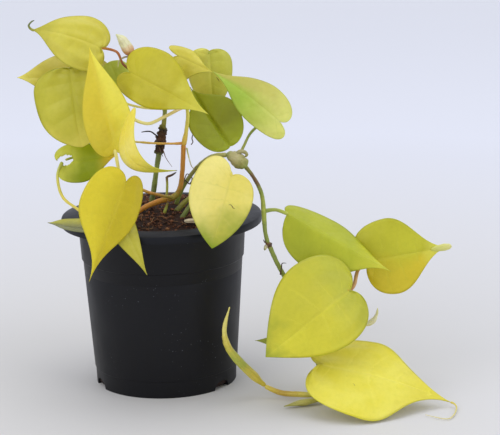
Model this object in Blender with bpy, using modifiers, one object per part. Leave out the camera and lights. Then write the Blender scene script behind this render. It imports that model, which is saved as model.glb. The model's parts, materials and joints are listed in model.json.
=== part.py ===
"""A trailing heartleaf vine growing in a round nursery pot.

The pot stands on z = 0 with its axis on the z axis, and the front of the plant is at -Y.
Lengths are in metres. The routes and leaves are written in millimetres, drawn round a pot of
DRAWN_LIP, DRAWN_THROAT and DRAWN_RIM, and settle() moves them with the pot that is built.
"""

import math

import bmesh
import bpy
from mathutils import Matrix, Vector

MM = 0.001

# Pot: outside sizes, heights above the table
POT_HEIGHT = 0.1036
LIP_DIAMETER = 0.120
LIP_FACE = 0.0042
LIP_DOME = 0.0015
LIP_WALL = 0.0015
THROAT_DIAMETER = 0.1006
STEP_DIAMETER = 0.0976
STEP_HEIGHT = 0.0764
STEP_DEPTH = 0.0008
FOOT_DIAMETER = 0.0848
FOOT_HEIGHT = 0.0105
FOOT_DEPTH = 0.0005
FOOT_DRAFT = 0.0004
WALL = 0.0012
BASE = 0.0013
POT_SIDES = 48
DRAIN_ANGLES = (-67.0, 53.5, 173.5)
DRAIN_WIDTH = 0.013
DRAIN_HEIGHT = 0.005
DRAIN_REACH = 0.009
DRAIN_SIDES = 24

# Soil
SOIL_BELOW_RIM = 0.0066
SOIL_MOUND = 0.0130
SOIL_RINGS = 5

# Wood chip: where it lies, in millimetres, its size, its bevel and its turn about z
CHIP_PLACE = (19.5, -35)
CHIP_SIZE = (0.0095, 0.0035, 0.0018)
CHIP_BEVEL = 0.0006
CHIP_TURN = 8.0

# Plant
GAP = 0.0003
END_ROOM = 0.1
BLADE = 0.0008
ROUTE_STEP = 0.006
CURVE_STEPS = 12
LEAF_ROWS = 9
LEAF_COLUMNS = 6

# Outline of every blade, in blade lengths: the share of it that runs round a lobe, how far
# past its widest place it stays full, where it narrows to the tip and how a blunt tip moves
# that place. Rows of points gather at the notch, and bend that far towards it.
LOBE_SHARE = 0.45
SHOULDER = 0.32
TAPER = 0.74
TAPER_BLUNT = 0.22
GATHER = 2.2
SWEEP = 0.1

# The pot that the routes and leaves below are drawn round
DRAWN_LIP = 0.120
DRAWN_THROAT = 0.1006
DRAWN_RIM = 0.1036
SPREAD_POWER = 3

# Colours, as red, green and blue
CHARCOAL = (0.016, 0.016, 0.019)
PEAT = (0.060, 0.026, 0.012)
CHIP = (0.60, 0.47, 0.29)
BARK = (0.075, 0.050, 0.022)
STEM_GREEN = (0.24, 0.29, 0.06)
OLD_GREEN = (0.17, 0.21, 0.07)
ORANGE = (0.58, 0.26, 0.03)
YELLOW = (0.66, 0.54, 0.04)
PALE = (0.74, 0.66, 0.17)
LIME = (0.40, 0.46, 0.03)
OLIVE = (0.36, 0.33, 0.03)
GREEN = (0.23, 0.34, 0.02)
CREAM = (0.62, 0.60, 0.36)
ROOT = (0.02, 0.016, 0.012)

# Stems: the route and the radius along it. One that carries on another starts at its end.
STEMS = {
    "stem_middle": dict(
        route=((-14, -24, 108), (-8, -21, 111.5), (0, -18, 114), (8, -17, 116), (12, -17, 121),
               (14, -18, 133), (15, -19, 148)),
        radius=(1.3, 1.5, 1.5, 1.9, 1.5, 1.3, 1.4), colour=ORANGE),
    "stem_middle_upper": dict(
        route=((15, -19, 148), (17, -20, 157), (18, -20, 166), (17, -16, 176)),
        radius=(1.3, 1.1, 1.1, 0.9), colour=YELLOW),
    "stem_old": dict(
        route=((-6, -4, 108), (-4, -5, 118), (-2, -5, 130), (0, -5, 140)),
        radius=(1.6, 1.6, 1.5, 1.5), colour=OLD_GREEN),
    "bark_node": dict(
        route=((0, -5, 140), (1, -5, 147), (3, -5, 157)),
        radius=(2.2, 3.0, 1.7), colour=BARK),
    "stem_upper": dict(
        route=((3, -5, 157), (4, -5, 168), (1, -5, 180), (-7, -5, 190), (-13, -7, 197)),
        radius=(1.4, 1.3, 1.2, 1.1, 1.0), colour=STEM_GREEN),
    "runner_left": dict(
        route=((15, -19, 148), (0, -23, 149.5), (-12, -20, 150), (-24, -5, 148), (-40, -2, 142),
               (-52, -2, 138)),
        radius=(0.8, 0.7, 0.7, 0.8, 0.8, 0.7), colour=YELLOW),
    "vine_upper": dict(
        route=((10, -9, 112), (14, -10, 121), (22, -14, 130), (31, -21, 138), (40, -26.4, 142)),
        radius=(1.3, 1.3, 1.2, 1.2, 1.3), colour=STEM_GREEN),
    "vine_bud": dict(
        route=((41, -27, 142), (46, -28, 140), (51, -30, 136)),
        radius=(1.6, 3.6, 2.3), colour=OLIVE),
    "vine_middle": dict(
        route=((51, -30, 136), (56, -31, 129), (60, -32, 120), (61, -33, 110), (61.5, -35, 99),
               (63, -36, 92)),
        radius=(1.2, 1.1, 1.2, 1.4, 1.2, 1.2), colour=STEM_GREEN),
    "vine_ring": dict(
        route=((63, -36, 92), (63.5, -36, 90.5), (64.2, -36, 89)),
        radius=(1.5, 2.1, 1.5), colour=BARK),
    "vine_lower": dict(
        route=((64.2, -36, 89), (68, -37, 80), (73, -38, 70), (80, -40, 54), (87, -44, 34),
               (92, -48, 16), (94, -52, 8)),
        radius=(1.3, 1.3, 1.3, 1.2, 1.2, 1.2, 1.3), colour=STEM_GREEN),
}

# Leaves: notch and tip of the blade, the way its upper face looks, and the width of its two
# halves, left then right with the tip up. Then, where they aren't BLADE_FORM's: the lobes'
# length over the blade's, left and right; where along the blade it is widest; how slender its
# tip is, from 0, a point, to 1, blunt, and how early it narrows (drip); how far the midrib
# bows out of the blade (arch, hook); the angle that each half is lifted (fold); and how far
# the edges turn back (cup).
BLADE_FORM = dict(lobe=(0.15, 0.15), widest=0.24, blunt=0.16, drip=0, arch=0, hook=0, fold=0,
                  cup=1.5)
LEAVES = {
    "leaf_crest": dict(base=(-32, -14, 205), tip=(-72, -5, 215), face=(0, -0.8, 0.6),
                       width=(17, 18), lobe=(0.1, 0.1), arch=3, colour=OLIVE),
    "leaf_left_back": dict(base=(-42, 8, 183), tip=(-83, 3, 186), face=(0, -0.8, 0.6),
                           width=(13, 13), colour=OLIVE),
    "leaf_left_oval": dict(base=(-50, -14, 193), tip=(-44, -22, 148), face=(-0.2, -1, 0.2),
                           width=(20, 24), blunt=0.8, hook=3, colour=OLIVE),
    "leaf_left_tall": dict(base=(-24, -36, 149), tip=(-37, -30, 208), face=(0.2, -1, 0),
                           width=(14, 14), lobe=(0.06, 0.06), arch=3, colour=YELLOW),
    "leaf_back_small": dict(base=(-22, 3, 178), tip=(-30, 5, 197), face=(0, -1, 0.2),
                            width=(7, 6), colour=GREEN),
    "leaf_bowed": dict(base=(-14, -43, 171), tip=(12, -51, 139), face=(-0.5, -0.7, -0.6),
                       width=(12, 12), lobe=(0.03, 0.03), arch=19, colour=PALE),
    "leaf_front_left": dict(base=(-17, -58, 134), tip=(-39, -74, 80), face=(0.1, -1, 0.2),
                            width=(13, 21), lobe=(0.1, 0.11), arch=1, colour=YELLOW),
    "leaf_front_narrow": dict(base=(-26, -58, 126), tip=(-6, -68, 82), face=(0.3, -1, 0.2),
                              width=(7, 9), colour=LIME),
    "leaf_bitten": dict(base=(-56, -12, 137), tip=(-24, -10, 141), face=(0, -1, 0.3),
                        width=(11, 13), colour=GREEN),
    "leaf_over_rim": dict(base=(-42, -50, 106), tip=(-65, -33, 106), face=(0, -0.5, 0.85),
                          width=(8, 8), fold=20, colour=LIME),
    "leaf_middle": dict(base=(-14, -22, 191), tip=(30, -43, 170), face=(-0.1, -0.9, 0.25),
                        width=(19, 19), arch=3, colour=LIME),
    "leaf_top_folded": dict(base=(9, 6, 199), tip=(33, -6, 188), face=(0, -0.9, 0.3),
                            width=(5, 14), colour=LIME),
    "leaf_top_round": dict(base=(31, 10, 189), tip=(32, 14, 162), face=(0, -1, 0.2),
                           width=(13, 14), lobe=(0.4, 0.4), blunt=0.5, colour=OLIVE),
    "leaf_right_green": dict(base=(71, -16, 160), tip=(33, -9, 189), face=(0.1, -0.9, 0.4),
                             width=(15, 15), lobe=(0.14, 0.14), arch=3, colour=GREEN),
    "leaf_right_under": dict(base=(42, -12, 145), tip=(24, -2, 178), face=(0, -1, 0.3),
                             width=(15, 16), lobe=(0.03, 0.03), widest=0.45, colour=GREEN),
    "leaf_front_right": dict(base=(42.6, -50, 135.5), tip=(31, -68, 97), face=(0.05, -1, 0.25),
                             width=(20, 21), lobe=(0.07, 0.26), arch=3, blunt=0.3,
                             colour=PALE),
    "leaf_trail_first": dict(base=(75, -33, 108), tip=(134, -44, 75), face=(0.1, -0.7, 0.7),
                             width=(18, 22), lobe=(0.06, 0), widest=0.35, blunt=0.05, fold=-25,
                             colour=LIME),
    "leaf_trail_far": dict(base=(123, -26, 77), tip=(171, -30, 86), face=(0, -1, 0.25),
                           width=(23, 22), lobe=(0.16, 0.07), blunt=0, drip=0.14,
                           colour=LIME),
    "leaf_trail_large": dict(base=(109, -56, 67), tip=(60, -77, 35), face=(0.1, -0.9, 0.4),
                             width=(24, 29), lobe=(0.08, 0.15), arch=4, colour=YELLOW),
    "leaf_trail_small": dict(base=(80, -46, 34), tip=(54, -44, 35), face=(0, -1, 0.2),
                             width=(4.5, 4.5), colour=GREEN),
    "leaf_floor": dict(base=(93, -62, 25), tip=(166, -69, 3), face=(0, -0.45, 0.9),
                       width=(27, 35), lobe=(0.1, 0.1), widest=0.36, drip=0.1, arch=3,
                       colour=YELLOW),
}

# Petioles: the stem that each leaves, or the soil, its route from there, and its leaf. A
# route that starts at a stem starts on that stem's own line.
PETIOLES = {
    "petiole_crest": dict(
        stem="stem_upper", leaf="leaf_crest", radius=0.8, colour=ORANGE,
        route=((-7, -5, 190), (-13, -8, 190), (-19, -9, 194), (-22, -10, 201), (-26, -9, 203))),
    "petiole_left_oval": dict(
        stem="stem_upper", leaf="leaf_left_oval", radius=0.7, colour=PALE,
        route=((4, -5, 168), (-4, -13, 168.5), (-18, -14, 172), (-28, -12, 180),
               (-42, -8, 192))),
    "petiole_left_tall": dict(
        stem="soil", leaf="leaf_left_tall", radius=0.9, colour=PALE,
        route=((-18, -30, 107), (-21, -36, 120), (-22, -39, 137))),
    "petiole_bowed": dict(
        stem="stem_middle_upper", leaf="leaf_bowed", radius=0.9, colour=PALE,
        route=((17.8, -18.5, 171), (12, -24, 169), (4, -27, 165.5), (-4, -32, 163),
               (-11, -38, 166))),
    "petiole_front_left": dict(
        stem="stem_middle", leaf="leaf_front_left", radius=0.9, colour=OLIVE,
        route=((8, -17, 116), (3, -23, 118), (-6, -38, 124), (-13, -52, 131))),
    "petiole_front_narrow": dict(
        stem="soil", leaf="leaf_front_narrow", radius=0.8, colour=YELLOW,
        route=((-22, -34, 106), (-24, -42, 120), (-26, -50, 127))),
    "petiole_over_rim": dict(
        stem=None, leaf="leaf_over_rim", radius=0.9, colour=YELLOW,
        route=((-57.5, -16, 135), (-59, -24, 131), (-55, -35, 121), (-43.5, -49, 115))),
    "petiole_middle": dict(
        stem="stem_upper", leaf="leaf_middle", radius=0.8, colour=LIME,
        route=((-4, -5, 187), (-9, -11, 188), (-13, -17, 190))),
    "petiole_top_round": dict(
        stem="stem_upper", leaf="leaf_top_round", radius=0.8, colour=LIME,
        route=((2, -5, 177), (8, 6, 178), (16, 15, 182), (25, 18, 187))),
    "petiole_right_green": dict(
        stem="vine_bud", leaf="leaf_right_green", radius=0.8, colour=STEM_GREEN,
        route=((46, -28, 140), (50, -20, 146), (54, -12, 152), (60, -9, 157), (66, -10, 160))),
    "petiole_front_right": dict(
        stem="soil", leaf="leaf_front_right", radius=1.1, colour=STEM_GREEN,
        route=((13, -29, 107), (21, -29, 117), (33, -33, 129), (41, -43, 136))),
    "petiole_trail_first": dict(
        stem="vine_middle", leaf="leaf_trail_first", radius=0.9, colour=STEM_GREEN,
        route=((61, -33, 110), (68, -32.5, 110.5))),
    "petiole_trail_far": dict(
        stem="vine_lower", leaf="leaf_trail_far", radius=1.1, colour=ORANGE,
        route=((80, -40, 54), (92, -44, 55), (104, -45, 60), (112, -43, 66), (115.5, -35, 74))),
    "petiole_trail_large": dict(
        stem="vine_lower", leaf="leaf_trail_large", radius=1.0, colour=LIME,
        route=((77, -39, 61), (88, -46, 64), (100, -50, 67))),
    "petiole_floor": dict(
        stem="vine_lower", leaf="leaf_floor", radius=1.1, colour=YELLOW,
        route=((94, -52, 8), (96, -57, 12), (95, -60, 18))),
}

# Rolled leaf, sheaths, roots and the dried thread: route and radius along it
SPROUTS = {
    "leaf_rolled": dict(
        route=((58, -42, 7.5), (53, -42, 13), (45, -46, 23), (38.5, -48, 33), (36.5, -50, 44),
               (40, -52, 58)),
        radius=(1.3, 2.7, 2.5, 1.9, 1.5, 0.4), colour=YELLOW),
    "petiole_rolled": dict(
        route=((92, -54, 4), (80, -50, 3.4), (69, -46, 3.2), (58.8, -42.3, 6.8)),
        radius=(1.6, 1.7, 1.6, 1.3), colour=YELLOW),
    "sheath_crest": dict(
        route=((-13, -7, 197), (-16, -8, 203), (-19, -8, 208), (-23, -8, 212)),
        radius=(1.4, 3.4, 3.0, 0.5), colour=CREAM),
    "sheath_floor": dict(
        route=((93, -58, 3.2), (82, -62, 2.6), (70, -66, 1.6)),
        radius=(1.2, 2.2, 0.5), colour=LIME),
    "sheath_tendril": dict(
        route=((114, -46, 47), (119, -46, 44.5), (123, -46, 46), (125.5, -46, 50),
               (126, -46, 54)),
        radius=(0.8, 1.2, 1.3, 0.8, 0.35), colour=CREAM),
    "root_black": dict(
        route=((-10, -10, 154), (-5, -10, 154.3), (-2, -8, 152)),
        radius=(0.35, 0.45, 0.45), colour=ROOT),
    "root_hook": dict(
        route=((70, -41, 74), (70.5, -43, 78), (71, -43, 81), (73.5, -43, 81)),
        radius=(0.4, 0.35, 0.3, 0.25), colour=ROOT),
    "thread_floor": dict(
        route=((168, -70, 2.4), (169, -74, 1.4), (166, -86, 1), (161, -92, 1), (150, -84, 1)),
        radius=(0.5, 0.4, 0.35, 0.35, 0.35), colour=PALE),
}


def clear_scene():
    for item in list(bpy.data.objects):
        bpy.data.objects.remove(item, do_unlink=True)


def make_material(name, colour, roughness):
    material = bpy.data.materials.new(name)
    material.use_nodes = True
    shader = material.node_tree.nodes["Principled BSDF"]
    shader.inputs["Base Color"].default_value = (*colour, 1.0)
    shader.inputs["Roughness"].default_value = roughness
    shader.inputs["Metallic"].default_value = 0.0
    return material


def add_object(name, data, collection, colour, roughness=0.5):
    item = bpy.data.objects.new(name, data)
    item.data.materials.append(make_material(name, colour, roughness))
    collection.objects.link(item)
    return item


def spread(radius):
    """Distance from the axis of what is drawn at a radius. Near the axis the plant grows with
    the pot's throat, and from the lip outwards it moves with the lip."""
    with_throat = radius * THROAT_DIAMETER / DRAWN_THROAT
    with_lip = radius * LIP_DIAMETER / DRAWN_LIP
    if radius > DRAWN_LIP / 2:
        return radius + (LIP_DIAMETER - DRAWN_LIP) / 2
    share = (radius / (DRAWN_LIP / 2)) ** SPREAD_POWER
    return with_throat + (with_lip - with_throat) * share


def settle(point):
    """Moves a drawn point, in millimetres, to its place round the pot that is built."""
    x, y, z = (value * MM for value in point)
    radius = math.hypot(x, y)
    scale = spread(radius) / radius if radius else 1.0
    if z < DRAWN_RIM:
        height = z * POT_HEIGHT / DRAWN_RIM
    else:
        height = z + POT_HEIGHT - DRAWN_RIM
    return Vector((x * scale, y * scale, height))


# Pot and soil


def body_radius(height):
    """Outside radius of the tapered body between the foot band and the step."""
    low = FOOT_DIAMETER / 2 + FOOT_DRAFT + FOOT_DEPTH
    high = STEP_DIAMETER / 2 - STEP_DEPTH
    share = (height - FOOT_HEIGHT) / (STEP_HEIGHT - FOOT_HEIGHT)
    return low + (high - low) * share


def throat_height():
    """Height of the underside of the lip, where the wall meets it."""
    return POT_HEIGHT - LIP_DOME - LIP_WALL


def inner_radius(height):
    """Inside radius of the wall, following its two tapers."""
    if height < STEP_HEIGHT:
        return body_radius(height) - WALL
    share = (height - STEP_HEIGHT) / (throat_height() - STEP_HEIGHT)
    low = body_radius(STEP_HEIGHT)
    return low + (THROAT_DIAMETER / 2 - low) * share - WALL


def pot_profile():
    """Half section of the pot: up the inside, over the lip, down the outside to the axis."""
    lip = LIP_DIAMETER / 2
    shoulder = POT_HEIGHT - LIP_DOME
    skirt = shoulder - LIP_FACE
    throat = THROAT_DIAMETER / 2
    foot = FOOT_DIAMETER / 2
    chamfer = 0.4 * LIP_WALL
    return [
        (0.0, BASE),
        (inner_radius(BASE), BASE),
        (inner_radius(STEP_HEIGHT), STEP_HEIGHT),
        (inner_radius(throat_height()), throat_height()),
        (throat - WALL / 2, POT_HEIGHT - chamfer),
        (throat + WALL / 2, POT_HEIGHT),
        (throat + (lip - throat) / 2, POT_HEIGHT - LIP_DOME / 3),
        (lip - chamfer, shoulder),
        (lip, shoulder - chamfer),
        (lip, skirt),
        (lip - LIP_WALL, skirt),
        (lip - LIP_WALL, throat_height()),
        (throat, throat_height()),
        (STEP_DIAMETER / 2, STEP_HEIGHT + STEP_DEPTH),
        (body_radius(STEP_HEIGHT), STEP_HEIGHT),
        (body_radius(FOOT_HEIGHT), FOOT_HEIGHT),
        (foot + FOOT_DRAFT, FOOT_HEIGHT - FOOT_DEPTH),
        (foot, 0.0),
        (0.0, 0.0),
    ]


def turned(name, profile, collection, colour, roughness):
    """A solid of revolution: the profile is a wire that a Screw modifier turns."""
    wire = bmesh.new()
    corners = [wire.verts.new((radius, 0.0, height)) for radius, height in profile]
    for first, second in zip(corners, corners[1:]):
        wire.edges.new((first, second))
    mesh = bpy.data.meshes.new(name)
    wire.to_mesh(mesh)
    wire.free()
    item = add_object(name, mesh, collection, colour, roughness)
    screw = item.modifiers.new("turn", "SCREW")
    screw.steps = POT_SIDES
    screw.render_steps = POT_SIDES
    screw.use_merge_vertices = True
    screw.merge_threshold = 0.00001
    screw.use_smooth_shade = True
    return item


def make_pot(parts, cutters):
    pot = turned("pot", pot_profile(), parts, CHARCOAL, 0.45)
    for number, angle in enumerate(DRAIN_ANGLES, 1):
        cutter = drain_cutter(f"drain_cutter_{number}", math.radians(angle), cutters)
        cut = pot.modifiers.new(cutter.name, "BOOLEAN")
        cut.operation = "DIFFERENCE"
        cut.object = cutter


def drain_cutter(name, angle, collection):
    """An arch lying across the corner of wall and base; angle runs from the front to +X."""
    mesh = bpy.data.meshes.new(name)
    arch = bmesh.new()
    bmesh.ops.create_cone(arch, cap_ends=True, segments=DRAIN_SIDES, radius1=1, radius2=1,
                          depth=1)
    outward = Vector((math.sin(angle), -math.cos(angle), 0.0))
    across = Vector((math.cos(angle), math.sin(angle), 0.0))
    axes = Matrix((across, Vector((0, 0, 1)), outward)).transposed()
    size = Matrix.Diagonal((DRAIN_WIDTH / 2, DRAIN_HEIGHT, DRAIN_REACH))
    arch.transform((axes @ size).to_4x4())
    bmesh.ops.translate(arch, verts=arch.verts, vec=outward * FOOT_DIAMETER / 2)
    bmesh.ops.recalc_face_normals(arch, faces=arch.faces)
    arch.to_mesh(mesh)
    arch.free()
    cutter = bpy.data.objects.new(name, mesh)
    cutter.hide_render = True
    cutter.display_type = "WIRE"
    collection.objects.link(cutter)
    return cutter


def soil_height(radius):
    """Height of the soil's mound at a distance from the axis."""
    edge = POT_HEIGHT - SOIL_BELOW_RIM
    share = min(1.0, radius / inner_radius(edge))
    return edge + SOIL_MOUND * (1 - share**3)


def make_soil(parts):
    edge = POT_HEIGHT - SOIL_BELOW_RIM
    bottom = BASE + GAP
    rim = inner_radius(edge) - GAP
    rings = [rim * ring / SOIL_RINGS for ring in range(SOIL_RINGS)]
    mound = [(radius, soil_height(radius)) for radius in rings]
    side = [(inner_radius(height) - GAP, height) for height in (edge, STEP_HEIGHT, bottom)]
    turned("soil", mound + side + [(0.0, bottom)], parts, PEAT, 0.95)


def make_wood_chip(parts):
    """A pale splinter of bark lying on the soil near the front of the rim."""
    _, width, thickness = CHIP_SIZE
    turn = Matrix.Rotation(math.radians(CHIP_TURN), 3, "Z")
    chip = bmesh.new()
    bmesh.ops.create_cube(chip, size=1)
    bmesh.ops.scale(chip, vec=CHIP_SIZE, verts=chip.verts)
    bmesh.ops.bevel(chip, geom=chip.edges, offset=CHIP_BEVEL, offset_type="OFFSET", segments=1,
                    profile=0.5, affect="EDGES", material=-1)
    bmesh.ops.rotate(chip, verts=chip.verts, matrix=turn)
    mesh = bpy.data.meshes.new("wood_chip")
    chip.to_mesh(mesh)
    chip.free()
    item = add_object("wood_chip", mesh, parts, CHIP, 0.8)
    place = settle((*CHIP_PLACE, 0))
    highest_soil = soil_height(place.xy.length - width)
    item.location = (place.x, place.y, highest_soil + thickness / 2 + GAP)


# Stems, petioles and everything else that is round in section


def dense_route(points, radii):
    """Close steps, with their radii, along a Catmull-Rom curve through the points."""
    count = len(points)
    dense = []
    for index in range(count - 1):
        before = points[max(index - 1, 0)]
        start, end = points[index], points[index + 1]
        after = points[min(index + 2, count - 1)]
        for step in range(CURVE_STEPS):
            t = step / CURVE_STEPS
            curve = (2 * start + (end - before) * t
                     + (2 * before - 5 * start + 4 * end - after) * t**2
                     + (3 * start - before - 3 * end + after) * t**3) / 2
            dense.append((curve, radii[index] + (radii[index + 1] - radii[index]) * t))
    dense.append((points[-1], radii[-1]))
    return dense


def smooth_route(points, radii, trim_start, trim_end):
    """Even steps along the curve through the points, less a length at each end."""
    dense = dense_route(points, radii)
    lengths = [0.0]
    for (first, _), (second, _) in zip(dense, dense[1:]):
        lengths.append(lengths[-1] + (second - first).length)
    usable = lengths[-1] - trim_start - trim_end
    steps = max(2, round(usable / ROUTE_STEP))
    route = []
    for step in range(steps + 1):
        wanted = trim_start + usable * step / steps
        index = max(i for i, length in enumerate(lengths[:-1]) if length <= wanted)
        share = (wanted - lengths[index]) / (lengths[index + 1] - lengths[index])
        place = dense[index][0].lerp(dense[index + 1][0], share)
        radius = dense[index][1] + (dense[index + 1][1] - dense[index][1]) * share
        route.append((place, radius))
    return route


def end_trim(radius):
    """How far an end stops short of the piece that it meets, with room for a bend there."""
    return GAP / 2 + END_ROOM * radius


def tube(name, points, radii, parts, colour, trim_start=None, trim_end=None):
    """A round, tapering stem along a smooth route, closed at both ends."""
    trim_start = end_trim(radii[0]) if trim_start is None else trim_start
    trim_end = end_trim(radii[-1]) if trim_end is None else trim_end
    route = smooth_route(points, radii, trim_start, trim_end)
    curve = bpy.data.curves.new(name, "CURVE")
    curve.dimensions = "3D"
    curve.bevel_depth = max(radii)
    curve.bevel_resolution = 2
    curve.use_fill_caps = True
    spline = curve.splines.new("POLY")
    spline.points.add(len(route) - 1)
    for knot, (place, radius) in zip(spline.points, route):
        knot.co = (*place, 1.0)
        knot.radius = radius / max(radii)
    return add_object(name, curve, parts, colour)


def lift_off_soil(points, radius):
    """Starts a route just above the mound instead of at the height that it was drawn at."""
    first = points[0]
    floor = soil_height(Vector(first.xy).length)
    return [Vector((first.x, first.y, floor + radius + GAP))] + points[1:]


def make_stems(parts):
    rooted = ("stem_middle", "stem_old", "vine_upper")
    for name, stem in STEMS.items():
        points = [settle(point) for point in stem["route"]]
        radii = [radius * MM for radius in stem["radius"]]
        trim_start = None
        if name in rooted:
            points = lift_off_soil(points, radii[0])
            trim_start = GAP / 2
        if name == "runner_left":
            trim_start = (STEMS["stem_middle"]["radius"][-1] * MM) + radii[0] + GAP
        tube(name, points, radii, parts, stem["colour"], trim_start)


def stem_radius(name, place):
    """Radius of a stem where its line passes nearest to a place."""
    points = [settle(point) for point in STEMS[name]["route"]]
    radii = [radius * MM for radius in STEMS[name]["radius"]]
    nearest = min(dense_route(points, radii), key=lambda step: (step[0] - place).length)
    return nearest[1]


def make_petioles(parts):
    for name, petiole in PETIOLES.items():
        leaf = LEAVES[petiole["leaf"]]
        radius = petiole["radius"] * MM
        points = [settle(point) for point in petiole["route"]]
        trim_start = GAP
        if petiole["stem"] == "soil":
            points = lift_off_soil(points, radius)
        elif petiole["stem"]:
            trim_start = stem_radius(petiole["stem"], points[0]) + radius + GAP
        points.append(settle(leaf["base"]))
        trim_end = BLADE / 2 + radius + GAP
        tube(name, points, [radius] * len(points), parts, petiole["colour"], trim_start, trim_end)


def make_sprouts(parts):
    for name, sprout in SPROUTS.items():
        points = [settle(point) for point in sprout["route"]]
        radii = [radius * MM for radius in sprout["radius"]]
        tube(name, points, radii, parts, sprout["colour"])


# Leaves


def bezier(corners, t):
    a, b, c, d = corners
    s = 1 - t
    return [s**3 * a[i] + 3 * s * s * t * b[i] + 3 * s * t * t * c[i] + t**3 * d[i]
            for i in (0, 1)]


def leaf_margin(s, lobe, form):
    """Half outline of a heart: s runs from the notch, round a lobe, to the drawn-out tip."""
    widest, blunt = form["widest"], form["blunt"]
    if s < LOBE_SHARE:
        corners = ((0, 0), (0.12, -1.5 * lobe), (0.94, -1.6 * lobe), (1, widest))
        return bezier(corners, s / LOBE_SHARE)
    taper = TAPER + TAPER_BLUNT * blunt - form["drip"]
    corners = ((1, widest), (1.05, widest + SHOULDER), (blunt, taper), (0, 1))
    return bezier(corners, (s - LOBE_SHARE) / (1 - LOBE_SHARE))


def blade_point(u, s, length, leaf):
    """A point of the blade: u runs across it from -1 to 1, s from the notch to the tip."""
    form = BLADE_FORM | leaf
    right = u > 0
    across = abs(u)
    edge_x, edge_y = leaf_margin(s, form["lobe"][right], form)
    sweep = SWEEP * math.sin(math.pi * s) * across * (1 - across)
    along = s**GATHER * (1 - across) + edge_y * across - sweep
    half = form["width"][right] * MM
    fold = math.radians(form["fold"])
    side = edge_x * u
    x = half * side * math.cos(fold)
    z = half * abs(side) * math.sin(fold) - form["cup"] * MM * side * side
    bow = 4 * along * (1 - along)
    late_bow = 27 / 4 * along**2 * (1 - along)
    z += (form["arch"] * bow + form["hook"] * late_bow) * MM
    return Vector((x, along * length, z))


def leaf_frame(leaf):
    """The blade's own axes: x across it, y from the notch to the tip, z out of its face."""
    base, tip = settle(leaf["base"]), settle(leaf["tip"])
    along = (tip - base).normalized()
    face = Vector(leaf["face"])
    face = (face - along * face.dot(along)).normalized()
    across = along.cross(face)
    turn = Matrix((across, along, face)).transposed().to_4x4()
    return Matrix.Translation(base) @ turn, (tip - base).length


def make_leaves(parts):
    for name, leaf in LEAVES.items():
        frame, length = leaf_frame(leaf)
        blade = bmesh.new()
        bmesh.ops.create_grid(blade, x_segments=LEAF_COLUMNS, y_segments=LEAF_ROWS, size=1)
        for corner in blade.verts:
            u, s = corner.co.x, (corner.co.y + 1) / 2
            corner.co = blade_point(u, s, length, leaf)
        bmesh.ops.remove_doubles(blade, verts=blade.verts, dist=0.00005)
        mesh = bpy.data.meshes.new(name)
        blade.to_mesh(mesh)
        blade.free()
        mesh.shade_smooth()
        item = add_object(name, mesh, parts, leaf["colour"])
        item.matrix_world = frame
        wall = item.modifiers.new("blade", "SOLIDIFY")
        wall.thickness = BLADE
        wall.offset = 0


def main():
    clear_scene()
    parts = bpy.data.collections.new("potted_pothos_plant")
    cutters = bpy.data.collections.new("cutters")
    bpy.context.scene.collection.children.link(parts)
    bpy.context.scene.collection.children.link(cutters)
    make_pot(parts, cutters)
    make_soil(parts)
    make_wood_chip(parts)
    make_stems(parts)
    make_petioles(parts)
    make_leaves(parts)
    make_sprouts(parts)


main()
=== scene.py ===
import json
import math
import random

import bmesh
import bpy
from mathutils import Matrix, Vector, noise


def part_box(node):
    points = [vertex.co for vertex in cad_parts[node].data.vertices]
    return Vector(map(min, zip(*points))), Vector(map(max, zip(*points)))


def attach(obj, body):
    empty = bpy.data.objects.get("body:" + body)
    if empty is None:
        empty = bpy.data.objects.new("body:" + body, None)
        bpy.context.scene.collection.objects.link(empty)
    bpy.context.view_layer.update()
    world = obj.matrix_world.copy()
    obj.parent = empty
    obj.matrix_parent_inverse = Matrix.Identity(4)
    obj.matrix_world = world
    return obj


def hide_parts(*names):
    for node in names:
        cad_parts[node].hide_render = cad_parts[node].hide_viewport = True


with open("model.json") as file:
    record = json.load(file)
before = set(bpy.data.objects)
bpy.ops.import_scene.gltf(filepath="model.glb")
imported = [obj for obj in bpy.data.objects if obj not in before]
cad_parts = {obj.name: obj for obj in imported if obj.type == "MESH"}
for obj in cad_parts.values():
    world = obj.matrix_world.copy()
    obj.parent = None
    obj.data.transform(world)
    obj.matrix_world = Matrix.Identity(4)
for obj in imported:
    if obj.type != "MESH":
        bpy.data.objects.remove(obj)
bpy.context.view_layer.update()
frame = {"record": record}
slotOf = {part["node"]: part["material_slot"] for part in frame["record"]["subparts"]}
mm = 0.001
print("frame loaded with", len(slotOf), "nodes")


def tone(red, green, blue):
    # a colour as a paint chart gives it, turned into the shader's linear values
    parts = [value / 255 for value in (red, green, blue)]
    return tuple(((c + 0.055) / 1.055) ** 2.4 if c > 0.04 else c / 12.92 for c in parts)


def addObject(name, data):
    made = bpy.data.objects.new(name, data)
    bpy.context.scene.collection.objects.link(made)
    return made


# Camera: stands in front of the pot, a little to its right, and looks down on the rim
camera = dict(place=(0.0529, -1.110, 0.358), lens=136.8, down=13.15, roll=-1.24)

cameraData = bpy.data.cameras.new("camera")
cameraData.lens = camera["lens"]
cameraData.sensor_width = 36
cameraObject = addObject("camera", cameraData)
tilt = Matrix.Rotation(math.radians(90 - camera["down"]), 4, "X")
lean = Matrix.Rotation(math.radians(camera["roll"]), 4, "Z")
cameraObject.matrix_world = Matrix.Translation(camera["place"]) @ tilt @ lean
bpy.context.scene.camera = cameraObject
bpy.context.scene.view_settings.view_transform = "Standard"

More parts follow.
